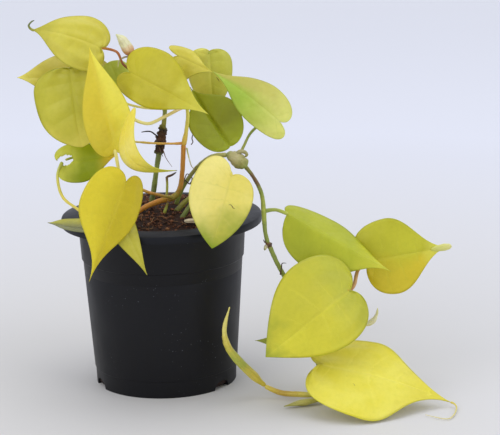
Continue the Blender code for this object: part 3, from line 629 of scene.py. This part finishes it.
leaves = {
    "leaf_crest": dict(
        base=(-32, -14, 205), tip=(-72, -5, 215), face=(0, -0.8, 0.6), width=(17, 18),
        lobe=(0.1, 0.08), arch=5, cup=4, wave=1.0, puff=0.5, pleat=1.6, ribTone=0.2,
        main=(202, 193, 70), second=(194, 183, 52), tipTone=(172, 167, 48)),
    "leaf_left_back": dict(
        base=(-42, 8, 183), tip=(-83, 3, 186), face=(0, -0.8, 0.6), width=(13, 19),
        lobe=(0.15, 0.3), cup=3, main=(203, 192, 76), second=(175, 162, 30),
        # the base tone is a painted shadow: a dark olive band at the base, where the crest leaf above
        # shades it
        rightTone=(184, 172, 50), tipTone=(229, 216, 100), baseTone=(151, 140, 6)),
    "leaf_left_oval": dict(
        base=(-50, -14, 193), tip=(-44, -22, 148), face=(-0.2, -1, 0.2), width=(20, 24),
        lobe=(0.06, 0.04), blunt=0.8, hook=3, puff=0.9, pleat=1.2, wave=1.1, ribTone=0.15,
        main=(193, 187, 53), second=(177, 173, 33), tipTone=(219, 207, 83)),
    "leaf_left_tall": dict(
        base=(-24, -36, 149), tip=(-37, -30, 208), face=(0.2, -1, 0), width=(14, 14),
        lobe=(0.06, 0.06), arch=3, main=(222, 204, 56), second=(214, 192, 44),
        rightTone=(236, 222, 78)),
    "leaf_back_small": dict(
        base=(-22, 3, 178), tip=(-28, 5, 194), face=(0, -1, 0.2), width=(9, 10), blunt=1.0,
        # painted light: its tones are painted lighter to make up for the shade it lies in behind the
        # other leaves
        main=(196, 208, 96), second=(172, 186, 70)),
    "leaf_bowed": dict(
        base=(-14, -43, 171), tip=(12, -51, 139), face=(-0.5, -0.7, -0.6), width=(12, 12),
        lobe=(0.03, 0.03), arch=19, wave=0.3, main=(237, 217, 84), second=(245, 225, 104),
        tipTone=(181, 185, 50)),
    "leaf_front_left": dict(
        base=(-17, -58, 134), tip=(-39, -74, 80), face=(0.1, -1, 0.2), width=(13, 21),
        lobe=(0.1, 0.11), drip=0.14, blunt=0.02, arch=1, wave=0.8, curl=1.5, ribTone=0.2,
        main=(191, 172, 4), second=(199, 180, 11), rightTone=(217, 198, 35)),
    "leaf_front_narrow": dict(
        base=(-26, -58, 126), tip=(-6, -68, 82), face=(0.3, -1, 0.2), width=(7, 9),
        main=(166, 160, 32), second=(186, 178, 52), wave=0.3),
    "leaf_bitten": dict(
        base=(-56, -12, 137), tip=(-24, -10, 141), face=(0, -1, 0.3), width=(11, 13),
        bite=(-1.5, 1.0, 2.7), main=(172, 182, 18), second=(144, 160, 10),
        baseTone=(204, 206, 74), tipTone=(218, 188, 46)),
    "leaf_over_rim": dict(
        base=(-42, -50, 106), tip=(-65, -33, 106), face=(0, -0.5, 0.85), width=(4, 7), fold=20,
        wave=0.3, main=(124, 126, 86), second=(140, 140, 102), rightTone=(178, 174, 72)),
    "leaf_middle": dict(
        base=(-14, -22, 191), tip=(30, -43, 170), face=(-0.1, -0.9, 0.25), width=(20, 14), arch=5,
        wave=0.7, curl=-3.0, drip=0.06, main=(193, 183, 29), second=(181, 171, 19),
        tipTone=(215, 209, 79)),
    "leaf_top_folded": dict(
        base=(13, 6, 196), tip=(33, -6, 188), face=(0, -0.9, 0.3), width=(7, 14),
        lobe=(0.34, 0.2), widest=0.1, drip=0.2, wave=1.2, cup=4, main=(210, 199, 72),
        second=(196, 184, 50)),
    "leaf_top_round": dict(
        base=(31, 10, 198), tip=(32, 14, 162), face=(0, -1, 0.2), width=(13, 14),
        lobe=(0.04, 0.06), blunt=0.6, cup=4, main=(190, 190, 74), second=(206, 204, 86),
        # painted light and shade: one half is painted pale as a highlight, the rest olive as shade,
        # and the tip tone darkens the lower part as the shadow of the leaves in front
        rightTone=(228, 221, 106), tipTone=(172, 168, 64)),
    "leaf_right_green": dict(
        base=(71, -16, 160), tip=(33, -9, 189), face=(0.1, -0.9, 0.4), width=(12, 15),
        lobe=(0.16, 0.1), arch=4, drip=0.08, wave=1.2, cup=3, ribTone=0.25, main=(160, 187, 60),
        second=(172, 185, 68), rightTone=(186, 181, 84), baseTone=(220, 221, 116)),
    "leaf_right_under": dict(
        base=(42, -12, 145), tip=(19, -1, 179), face=(0, -1, 0.3), width=(15, 17),
        lobe=(0.03, 0.03), widest=0.4, blunt=0.0, fold=14, rib=1.3, puff=0.4, ribTone=0.3,
        main=(153, 160, 26), second=(139, 146, 20), baseTone=(169, 182, 32)),
    "leaf_front_right": dict(
        base=(42.6, -50, 134.5), tip=(31, -68, 97), face=(0.05, -1, 0.25), width=(15.5, 21),
        lobe=(0.07, 0.24), arch=3, blunt=0.5, puff=0.25, main=(222, 204, 90),
        second=(228, 212, 104), tipTone=(134, 152, 14), tipFrom=0.42, tipTo=0.86,
        rightTone=(234, 218, 122), veinTone=(200, 192, 86)),
    "leaf_trail_first": dict(
        base=(75, -33, 108), tip=(134, -44, 75), face=(0.1, -0.7, 0.7), width=(18, 22),
        lobe=(0.06, 0), widest=0.35, blunt=0.05, fold=-25, main=(176, 181, 34),
        second=(164, 171, 26), tipTone=(200, 199, 54)),
    "leaf_trail_far": dict(
        base=(123, -26, 77), tip=(171, -30, 86), face=(0, -1, 0.25), width=(23, 22),
        lobe=(0.16, 0.07), blunt=0, drip=0.11, wave=0.7, main=(189, 187, 39),
        second=(177, 175, 29), rightTone=(207, 189, 37), tipTone=(209, 207, 79)),
    "leaf_trail_large": dict(
        base=(109, -56, 67), tip=(60, -77, 35), face=(0.1, -0.9, 0.4), width=(24, 31),
        lobe=(0.08, 0.15), arch=5, blunt=0.4, cup=3, pleat=0.9, wave=1.0, main=(214, 206, 52),
        # the right tone is a painted shade that darkens the upper half, where the leaf lies in shade
        second=(204, 196, 44), rightTone=(194, 188, 46), baseTone=(182, 182, 48),
        tipTone=(150, 160, 40), tipFrom=0.72),
    "leaf_trail_small": dict(
        base=(80, -46, 34), tip=(54, -44, 35), face=(0, -1, 0.2), width=(4.5, 4.5), wave=0.2,
        main=(150, 158, 54), second=(134, 142, 44)),
    "leaf_floor": dict(
        base=(93, -62, 25), tip=(166, -69, 3), face=(0, -0.45, 0.9), width=(27, 35),
        lobe=(0.12, 0.1), widest=0.32, drip=0.16, arch=4, pleat=1.5, wave=1.2, puff=0.45,
        main=(227, 213, 54), second=(235, 223, 86), tipTone=(215, 201, 60)),
}


def bezier(corners, t):
    a, b, c, d = (Vector(corner) for corner in corners)
    return a * (1 - t) ** 3 + 3 * b * (1 - t) ** 2 * t + 3 * c * (1 - t) * t**2 + d * t**3


def leafMargin(s, lobe, form):
    widest, blunt, lobeShare = form["widest"], form["blunt"], bladeOutline["lobeShare"]
    if s < lobeShare:
        (notchX, notchY), (earX, earY) = bladeOutline["notch"], bladeOutline["ear"]
        corners = ((0, 0), (notchX, notchY * lobe), (earX, earY * lobe), (1, widest))
        return bezier(corners, s / lobeShare)
    taper = bladeOutline["taper"] + bladeOutline["taperBlunt"] * blunt - form["drip"]
    flank = (bladeOutline["flank"], widest + bladeOutline["shoulder"])
    corners = ((1, widest), flank, (blunt, taper), (0, 1))
    return bezier(corners, (s - lobeShare) / (1 - lobeShare))


def bladePoint(u, s, length, form):
    right, across = u > 0, abs(u)
    edge = leafMargin(s, form["lobe"][right], form)
    bend = bladeOutline["sweep"] * math.sin(math.pi * s) * across * (1 - across)
    along = s ** bladeOutline["gather"] * (1 - across) + edge.y * across - bend
    half, fold, side = form["width"][right], math.radians(form["fold"]), edge.x * u
    x = half * side * math.cos(fold)
    z = half * abs(side) * math.sin(fold) - form["cup"] * side * side
    z += form["arch"] * 4 * along * (1 - along) + form["hook"] * 27 / 4 * along**2 * (1 - along)
    z += livingRelief(u, s, along, x, form)
    return Vector((x * mm, along * length, z * mm))


def livingRelief(u, s, along, x, form):
    # waves at the edge, sunken veins with puffed skin between them, and a curling tip
    across = abs(u)
    margin = relief["margin"]
    ripple = math.sin(math.tau * form["waves"] * s + (relief["lag"] if u > 0 else 0))
    lift = form["wave"] * ripple * across**2 * math.sin(math.pi * min(1, s * margin))
    ridge = abs(math.sin(math.pi * form["veins"] * s * 0.5 + across * 0.5)) - relief["valley"]
    inward = math.sin(math.pi * min(1.0, across * margin))
    lift += form["puff"] * ridge * inward * (1 - s) ** 0.5
    trough = math.exp(-((x / relief["ribWidth"]) ** 2))
    lift -= form["rib"] * trough * math.sin(math.pi * min(1, max(0, along))) ** 0.5
    crease = math.sin(relief["creases"] * across + relief["creaseLag"]) * across
    crease *= math.exp(-((along / relief["creaseReach"]) ** 2))
    lift += form["pleat"] * crease * (1 - relief["creaseFade"] * along)
    lift += form["curl"] * max(0.0, (along - relief["curlFrom"]) / relief["curlSpan"]) ** 2
    return lift


def leafPlace(form):
    base, tip = Vector(form["base"]) * mm, Vector(form["tip"]) * mm
    along = (tip - base).normalized()
    face = Vector(form["face"])
    face = (face - along * face.dot(along)).normalized()
    turn = Matrix((along.cross(face), along, face)).transposed().to_4x4()
    return Matrix.Translation(base) @ turn, (tip - base).length


def leafMaterial(name, form):
    # living skin: clouded colour, paler or darker halves, tip and base (on some leaves painted light
    # and shade), veins, a soft gloss
    material, tree, shader = newMaterial(name)
    paints = {key: tone(*value) for key, value in form.items() if key in leafPaints}
    main, second = paints["main"], paints["second"]
    spot = objectSpot(tree)
    across, row, reach = (readValue(tree, key) for key in ("across", "row", "reach"))
    patch = cloud(tree, 42, 3, 0.55, spot)
    fine = cloud(tree, 420, 4, 0.6, spot)
    side = doMath(tree, "ABSOLUTE", across)
    drift = ramp(tree, patch, 0.25, 0.75, -0.22, 0.22)
    colour = blendTones(tree, ramp(tree, patch, 0.36, 0.64), main, second)
    # on some leaves these half, base and tip tones are painted light and shade rather than the blade's
    # own colour
    if "rightTone" in paints:
        where = ramp(tree, doMath(tree, "ADD", across, drift), -0.15, 0.55)
        colour = blendTones(tree, where, colour, paints["rightTone"])
    if "baseTone" in paints:
        where = ramp(tree, doMath(tree, "ADD", reach, drift), 0.4, 0.0)
        colour = blendTones(tree, where, colour, paints["baseTone"])
    if "tipTone" in paints:
        where = ramp(tree, doMath(tree, "ADD", reach, drift), form["tipFrom"], form["tipTo"])
        colour = blendTones(tree, where, colour, paints["tipTone"])
    wander = ramp(tree, fine, 0.3, 0.7, -0.06, 0.06)
    beat = doMath(tree, "ADD", doMath(tree, "MULTIPLY", row, form["veins"] * 0.5), wander)
    beat = doMath(tree, "ADD", beat, doMath(tree, "MULTIPLY", side, 0.5 / math.pi))
    rung = doMath(tree, "PINGPONG", beat, 0.5)
    vein = doMath(tree, "MULTIPLY", ramp(tree, rung, 0.075, 0.0), ramp(tree, side, 1.0, 0.3))
    midrib = ramp(tree, side, 0.06, 0.015)
    lines = doMath(tree, "MAXIMUM", vein, midrib)
    veinTone = paints.get("veinTone", tuple(min(1, c * 1.12 + 0.02) for c in second))
    strongest = form["ribTone"]
    faint = ramp(tree, cloud(tree, 90, 2, 0.5, spot), 0.35, 0.65, 0.25 * strongest, strongest)
    colour = blendTones(tree, doMath(tree, "MULTIPLY", lines, faint), colour, veinTone)
    shaded = blendTones(tree, 1.0, colour, (0.86, 0.88, 0.72), "MULTIPLY")
    colour = blendTones(tree, ramp(tree, fine, 0.42, 0.7, 0, 0.4), colour, shaded)
    rimShade = blendTones(tree, 1.0, colour, (0.72, 0.78, 0.5), "MULTIPLY")
    colour = blendTones(tree, ramp(tree, side, 0.955, 1.0, 0, 0.75), colour, rimShade)
    tree.links.new(colour, shader.inputs["Base Color"])
    tree.links.new(ramp(tree, fine, 0.3, 0.7, 0.36, 0.5), shader.inputs["Roughness"])
    shader.inputs["Specular IOR Level"].default_value = 0.4
    cells = {"Vector": spot, "Scale": 900.0}
    net = addNode(tree, "ShaderNodeTexVoronoi", cells, feature="DISTANCE_TO_EDGE").outputs["Distance"]
    sunken = doMath(tree, "MULTIPLY", lines, -0.8)
    height = doMath(tree, "ADD", sunken, doMath(tree, "MULTIPLY", fine, 0.5))
    height = doMath(tree, "ADD", height, ramp(tree, net, 0.0, 0.25, 0, 0.3))
    addBump(tree, shader, height, 0.22, 0.0004)
    setGlow(shader, 0.3, 0.0018)
    return material


def makeLeaf(name, spec):
    form = bladeForm | spec
    place, length = leafPlace(form)
    blade = bmesh.new()
    for key in ("across", "row", "reach"):
        layer(blade, key)
    across, row, reach = (layer(blade, key) for key in ("across", "row", "reach"))
    bmesh.ops.create_grid(blade, x_segments=bladeCells["columns"],
                          y_segments=bladeCells["rows"], size=1)
    for corner in blade.verts:
        u, s = corner.co.x, (corner.co.y + 1) / 2
        u = math.copysign(abs(u) ** bladeCells["gather"], u)
        corner[across], corner[row] = u, s
        corner.co = bladePoint(u, s, length, form)
        corner[reach] = corner.co.y / length
    if form["bite"]:
        x, y, size = form["bite"]
        eaten = []
        for face in blade.faces:
            middle = face.calc_center_median() / mm
            ragged = noise.noise(middle * biteEdge["pitch"]) * biteEdge["ragged"]
            if math.hypot(middle.x - x, (middle.y - y) * biteEdge["squash"]) < size + ragged:
                eaten.append(face)
        bmesh.ops.delete(blade, geom=eaten, context="FACES")
    bmesh.ops.remove_doubles(blade, verts=blade.verts, dist=0.02 * mm)
    blade.transform(place)
    piece = finishPiece(name + "_live", blade, leafMaterial(name + "Skin", form), [name])
    wall = piece.modifiers.new("blade", "SOLIDIFY")
    wall.thickness = form["thick"] * mm
    wall.offset = 0


for name, spec in leaves.items():
    makeLeaf(name, spec)
print("leaves opened")

# Petioles: from inside the stem that each leaves to the notch of the leaf it is named after
petioleForm = dict(foot=1.35, top=1.15)
petioles = {
    "petiole_crest": dict(
        radius=0.75, tones=(stemGreen, brown, rust, rust, orange),
        route=((-8, -5.4, 191), (-13, -8, 190), (-19, -9, 194), (-22, -10, 201), (-26, -9, 203))),
    "petiole_left_oval": dict(
        # painted light: its tones are painted paler to make up for the shade that leaf_middle casts on
        # it
        radius=0.7, tones=((248, 240, 150), (246, 234, 130), (246, 238, 150)),
        route=((4, -5, 168), (-4, -13, 168.5), (-18, -14, 172), (-28, -12, 180), (-42, -8, 192))),
    "petiole_left_tall": dict(
        radius=0.95, tones=(olive, paleYellow, paleYellow),
        route=((-17.5, -29, 104), (-21, -36, 120), (-22, -39, 137))),
    "petiole_bowed": dict(
        radius=0.95, tones=((222, 184, 132), (238, 222, 140), (240, 228, 140), (240, 230, 140)),
        route=((17.8, -18.5, 171), (12, -24, 169), (4, -27, 165.5), (-4, -32, 163),
               (-11, -38, 166))),
    "petiole_front_left": dict(
        radius=0.9, tones=(olive, orange, yellow),
        route=((8, -17, 116), (3, -23, 118), (-6, -38, 124), (-13, -52, 131))),
    "petiole_front_narrow": dict(
        radius=0.8, tones=(olive, yellow),
        route=((-21.5, -33, 103), (-24, -42, 120), (-26, -50, 127))),
    "petiole_over_rim": dict(
        radius=0.85, tones=(lime, yellow, yellow),
        route=((-57, -13, 137.5), (-59, -24, 131), (-55, -35, 121), (-43.5, -49, 115))),
    "petiole_middle": dict(
        radius=0.8, tones=(lime, yellow), route=((-4, -5, 187), (-9, -11, 188), (-13, -17, 190))),
    "petiole_top_round": dict(
        radius=0.8, tones=(stemGreen, lime),
        route=((2, -5, 177), (8, 6, 178), (16, 15, 182), (25, 18, 187))),
    "petiole_right_green": dict(
        radius=0.8, tones=(olive, stemGreen, lime),
        route=((46, -28, 140), (50, -20, 146), (54, -12, 152), (60, -9, 157), (66, -10, 160))),
    "petiole_front_right": dict(
        radius=1.1, tones=(oldGreen, stemGreen, lime, yellow),
        route=((12, -28, 104), (21, -29, 117), (33, -33, 129), (41, -43, 136))),
    "petiole_trail_first": dict(
        radius=1.0, tones=(stemGreen, lime), route=((61, -33, 110), (68, -32.5, 110.5))),
    "petiole_trail_far": dict(
        radius=1.1, tones=(stemGreen, rust, (214, 168, 110), orange),
        route=((80, -40, 54), (92, -44, 55), (104, -45, 60), (112, -43, 66), (115.5, -35, 74))),
    "petiole_trail_large": dict(
        radius=1.0, tones=(stemGreen, lime, orange),
        route=((77, -39, 61), (88, -46, 64), (100, -50, 67))),
    "petiole_floor": dict(
        radius=1.1, tones=(stemGreen, yellow),
        route=((94, -52, 8), (96, -57, 12), (95, -60, 18))),
}


def makePetiole(name, spec):
    leaf = leaves[name.replace("petiole", "leaf")]
    route = list(spec["route"]) + [leaf["base"]]
    slim = spec["radius"]
    radii = [slim] * len(route)
    radii[0], radii[-1] = slim * petioleForm["foot"], slim * petioleForm["top"]
    shape = bmesh.new()
    sweep(shape, route, radii, 14, 1.0)
    roughen(shape, 0.08, 4.0, len(name), 3, 0.05)
    skin = stemMaterial(name + "Skin", spec["tones"], streak=0.16, fleck=0.3)
    finishPiece(name + "_live", shape, skin, [name])


for name, spec in petioles.items():
    makePetiole(name, spec)
print("petioles joined")

# Rolled leaf, sheaths, roots and dry threads that have a node of their own
sprouts = {
    "leaf_rolled": dict(
        route=((60, -42.6, 6.8), (58, -42, 8), (53, -42, 13), (45, -46, 23), (38.5, -48, 33),
               (36.5, -50, 44), (40, -52, 58)), radii=(1.2, 1.5, 2.7, 2.5, 1.9, 1.4, 0.3),
        tones=((206, 186, 50), yellow, lime, yellow, paleYellow, paleYellow), seam=0.7),
    "petiole_rolled": dict(
        route=((93, -54.5, 4), (80, -50, 3.4), (69, -46, 3.2), (59.5, -42.6, 6.4)),
        radii=(1.6, 1.7, 1.6, 1.35), tones=(stemGreen, yellow, (196, 160, 50), yellow)),
    "sheath_crest": dict(
        route=((-13.4, -7.1, 198), (-16, -8, 203), (-19, -8, 208), (-23, -8, 212)),
        radii=(1.2, 3.9, 3.2, 0.3), tones=(rust, (214, 150, 90), cream, cream, (206, 212, 160)),
        flat=0.9, seam=0.5),
    "sheath_floor": dict(
        route=((93, -58, 3.2), (82, -62, 2.6), (70, -66, 1.6)), radii=(1.3, 2.6, 0.3),
        tones=((150, 146, 60), (206, 200, 110), (160, 156, 70)), flat=0.7, seam=0.5),
    "sheath_tendril": dict(
        route=((112.5, -46, 49), (114, -46, 47), (119, -46, 44.5), (123, -46, 46),
               (125.5, -46, 50), (126, -46, 54)), radii=(0.8, 1.1, 1.9, 2.0, 1.1, 0.2),
        tones=(lime, cream, cream, (214, 210, 130)), flat=0.8, seam=0.4),
    "root_black": dict(
        route=((-10, -10, 154), (-5, -10, 154.3), (-2, -8, 152), (0.5, -6, 149)),
        radii=(0.25, 0.42, 0.45, 0.5), tones=(black, black)),
    "root_hook": dict(
        route=((69.8, -38.5, 73), (70.5, -42.6, 78), (71, -43, 81), (73.5, -43, 81)),
        radii=(0.45, 0.35, 0.3, 0.15), tones=(brown, black)),
    "thread_floor": dict(
        route=((166, -69, 3), (168, -70, 2.4), (169, -74, 1.4), (166, -86, 1), (161, -92, 1),
               (150, -84, 1)), radii=(0.7, 0.5, 0.42, 0.35, 0.3, 0.15),
        tones=(yellow, (222, 210, 130), (230, 222, 170))),
}


def makeSprout(name, spec, nodes, slot=None):
    shape = bmesh.new()
    sweep(shape, spec["route"], spec["radii"], 18, 0.8, spec.get("flat", 1.0))
    roughen(shape, spec.get("lumps", 0.06), 3.0, len(name))
    around, along = layer(shape, "around"), layer(shape, "along")
    for corner in shape.verts:  # the free edge of a rolled skin stands proud and winds round it
        wind = (corner[around] + corner[along] * 0.8) % 1.0
        proud = corner.normal * spec.get("seam", 0.0) * (wind - 0.5) * mm
        corner.co += proud * math.sin(math.pi * corner[along])
    material = stemMaterial(name + "Skin", spec["tones"], streak=0.3, glow=0.2)
    finishPiece(name + "_live" if nodes else name, shape, material, nodes, slot)


for name, spec in sprouts.items():
    makeSprout(name, spec, [name])

# Finer roots, stubs and scars that only the living plant has
trimmings = {
    "paleRoot": dict(
        route=((16.8, -20, 146), (18, -20, 139.9), (19.6, -20, 134.5), (22.5, -20, 132.6)),
        radii=(0.45, 0.4, 0.3, 0.12), tones=(lime, cream, brown), slot='petiole_yellow'),
    "drySquiggle": dict(
        route=((20.8, -8, 153), (19.7, -8, 149.4), (20.2, -8, 147), (18.9, -8, 145.3)),
        radii=(0.15, 0.35, 0.3, 0.35), tones=(black, brown), slot='root'),
    "aerialRootLong": dict(
        route=((1.6, -6, 145), (3, -8, 141), (4, -8, 137.8), (7.4, -8, 132.3)),
        radii=(0.3, 0.25, 0.2, 0.1), tones=(brown, brown), slot='root'),
    "aerialRootShort": dict(
        route=((-0.3, -6.5, 145), (1.2, -9, 141.6), (2.3, -9, 138.6)), radii=(0.3, 0.25, 0.1),
        tones=(brown, black), slot='root'),
    "dryLoop": dict(
        route=((13.2, -16, 121), (14.4, -12, 124.5), (16.3, -12, 128.7), (19.2, -12, 126.2),
               (17.9, -12, 122.6), (15, -12, 125.1)), radii=(0.35, 0.35, 0.3, 0.35, 0.4, 0.3),
        tones=(black, brown, black), slot='root'),
    "dryTwist": dict(
        route=((17.9, -12, 123.8), (19.5, -12, 121), (21.4, -12, 120.1), (23.2, -12, 122.5)),
        radii=(0.3, 0.4, 0.35, 0.2), tones=(black, brown), slot='root'),
    "greenStub": dict(
        route=((3.6, -14, 112), (4.2, -14, 118.5), (4.5, -14, 123.3), (4.3, -14, 128)),
        radii=(0.8, 0.75, 0.7, 0.8), tones=(oldGreen, lime, lime, brown), slot='stem_green'),
    "stubTip": dict(
        route=((4.3, -14, 127.6), (7.5, -14, 128.7), (10.2, -14, 130.4)), radii=(0.8, 0.65, 0.3),
        tones=(brown, black), slot='root'),
    "soilSprout": dict(
        route=((8.5, -20, 106), (10.6, -20, 109), (14.3, -20, 113), (20.3, -20, 118.5)),
        radii=(1.5, 1.7, 1.5, 0.6), tones=(oldGreen, olive, stemGreen), slot='stem_green'),
    "soilStub": dict(
        route=((2.6, -24, 106), (3.1, -24, 109), (4.4, -24, 112.5), (5.1, -24, 115.5)),
        radii=(0.9, 0.9, 0.8, 0.5), tones=(olive, lime, brown), slot='stem_green'),
    "soilStubLow": dict(
        route=((24, -22, 103), (26, -23, 109), (31, -25, 112)), radii=(1.0, 0.9, 0.5),
        tones=(oldGreen, olive, brown), slot='stem_green'),
    "budSpur": dict(
        route=((45.5, -28.5, 142), (47.6, -29, 144.6), (50.3, -29, 144.6), (51.9, -29, 142.9),
               (50.5, -29, 141.4)), radii=(1.6, 1.3, 1.1, 0.9, 0.4),
        tones=((150, 146, 92), (166, 158, 108), olive), slot='stem_green'),
    "ringBud": dict(
        route=((63.2, -36.6, 90.5), (61.8, -37, 89.6), (60.9, -37, 87.4)), radii=(0.9, 1.1, 0.4),
        tones=(brown, cream, olive), slot='stem_green'),
    "ringRoot": dict(
        route=((62.8, -36.4, 91.4), (61.2, -37, 92.4), (60.4, -37, 94)), radii=(0.5, 0.4, 0.2),
        tones=(brown, black), slot='root'),
    "crestHusk": dict(
        route=((-14, -7.5, 198), (-18, -9, 198.5), (-21.5, -9.5, 196.3), (-22.3, -9.5, 192.5)),
        radii=(0.8, 1.0, 0.8, 0.3), tones=(brown, (170, 160, 110), cream), flat=0.5,
        slot='sheath'),
    "crestTip": dict(
        route=((-70.5, -5.4, 214.7), (-72.4, -6.6, 215.8), (-73.4, -7.6, 218), (-71.6, -8, 220.2),
               (-69.8, -8, 221)), radii=(0.9, 0.75, 0.6, 0.45, 0.2),
        tones=((190, 186, 80), (120, 130, 60), (90, 104, 60)), slot='leaf_olive'),
    "farTip": dict(
        route=((158.5, -29.1, 83.7), (162.5, -29.5, 84.5), (166.3, -29.8, 85.2), (169, -30, 85.6),
               (170.8, -30, 85.5)), radii=(0.4, 1.0, 1.15, 0.95, 0.3), flat=1.9, slot='leaf_lime',
        tones=((206, 208, 92), (222, 218, 140))),
}
for name, spec in trimmings.items():
    makeSprout(name, spec, [], spec["slot"])
print("sprouts, roots and stubs added")


def onBlade(name, u, s, lift):
    # a place just above a blade's face, in millimetres
    form = bladeForm | leaves[name]
    place, length = leafPlace(form)
    point = bladePoint(u, s, length, form)
    point.z += lift * mm
    return tuple(place @ point / mm)


# Marks on the blades: dry scars that lie on the skin
scarEnd, scarLift = 0.08, 0.2
scars = {
    "scarFrontRight": ("leaf_front_right",
                       ((-0.5, 0.62), (-0.42, 0.63), (-0.3, 0.62), (-0.18, 0.64)), 0.28),
    "scarTopRound": ("leaf_top_round", ((-0.5, 0.7), (-0.4, 0.68), (-0.28, 0.66)), 0.3),
    "scarFloor": ("leaf_floor", ((0.3, 0.5), (0.33, 0.51), (0.36, 0.51)), 0.16),
}
for name, (leaf, marks, width) in scars.items():
    route = [onBlade(leaf, u, s, scarLift) for u, s in marks]
    radii = [scarEnd] + [width] * (len(route) - 2) + [scarEnd]
    spec = dict(route=route, radii=radii, tones=(brown, barkBrown), flat=0.5)
    makeSprout(name, spec, [], "bark")


# Wood chip and the fibres in the soil
chip = dict(size=(9.5, 3.4, 1.9), turn=8.0, cuts=7, endPinch=0.35, splinter=0.4,
            colour=tone(232, 220, 190), dark=tone(176, 146, 104))


def makeChip():
    low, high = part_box("wood_chip")
    centre = (Vector(low) + Vector(high)) / 2
    block = bmesh.new()
    bmesh.ops.create_cube(block, size=1)
    bmesh.ops.scale(block, vec=Vector(chip["size"]) * mm, verts=block.verts)
    bmesh.ops.subdivide_edges(block, edges=block.edges, cuts=chip["cuts"],
                              use_grid_fill=True)
    for corner in block.verts:
        end = abs(corner.co.x) / (chip["size"][0] * mm / 2)
        shrink = 1 - chip["endPinch"] * end**2
        corner.co.y *= shrink
        corner.co.z *= shrink
        grain = Vector((corner.co.x * 0.25, corner.co.y, corner.co.z)) / mm
        torn = [noise.noise(grain * 1.1 + Vector((n * 7, 0, 0))) for n in range(3)]
        corner.co += Vector(torn) * chip["splinter"] * mm
    turn = Matrix.Translation(centre) @ Matrix.Rotation(math.radians(chip["turn"]), 4, "Z")
    block.transform(turn)
    material, tree, shader = newMaterial("splitWood", 0.75)
    spot = objectSpot(tree)
    stretched = addNode(tree, "ShaderNodeMapping", {0: spot, 3: (0.2, 1, 1)}).outputs[0]
    grain = cloud(tree, 1200, 3, 0.6, stretched)
    wood = blendTones(tree, ramp(tree, grain, 0.35, 0.7), chip["colour"], chip["dark"])
    tree.links.new(wood, shader.inputs["Base Color"])
    addBump(tree, shader, grain, 0.5, 0.0003)
    piece = finishPiece("woodSplinter", block, material, ["wood_chip"])
    smooth = piece.modifiers.new("smooth", "SUBSURF")
    smooth.levels = 1
    smooth.render_levels = 1


def makeFibres():
    chance = random.Random(soil["seed"])
    threads = bmesh.new()
    for x, y in scatterOnSoil(soil["fibres"], chance):
        angle, reach = chance.uniform(0, math.tau), chance.uniform(3, 9)
        radius = chance.uniform(0.1, 0.28)
        route = []
        for part in range(4):
            across = reach * (part / 3 - 0.5)
            px = x + math.cos(angle) * across + chance.uniform(-0.8, 0.8)
            py = y + math.sin(angle) * across + chance.uniform(-0.8, 0.8)
            limit = innerRadius(potTop - soil["belowRim"]) - 1
            if math.hypot(px, py) > limit:
                px, py = (Vector((px, py)).normalized() * limit)
            route.append((px, py, soilSurface(px, py) + 0.5 + chance.uniform(-0.2, 0.8)))
        radii = [radius * 0.6, radius, radius, radius * 0.4]
        sweep(threads, route, radii, 5, 1.4, tint=chance.random())
    bmesh.ops.recalc_face_normals(threads, faces=threads.faces)
    straw = soilMaterial("fibres", tone(74, 46, 28), soil["fibre"])
    finishPiece("soilFibres", threads, straw, slot="peat")


makeChip()
makeFibres()
print("soil dressed")

bpy.context.view_layer.update()
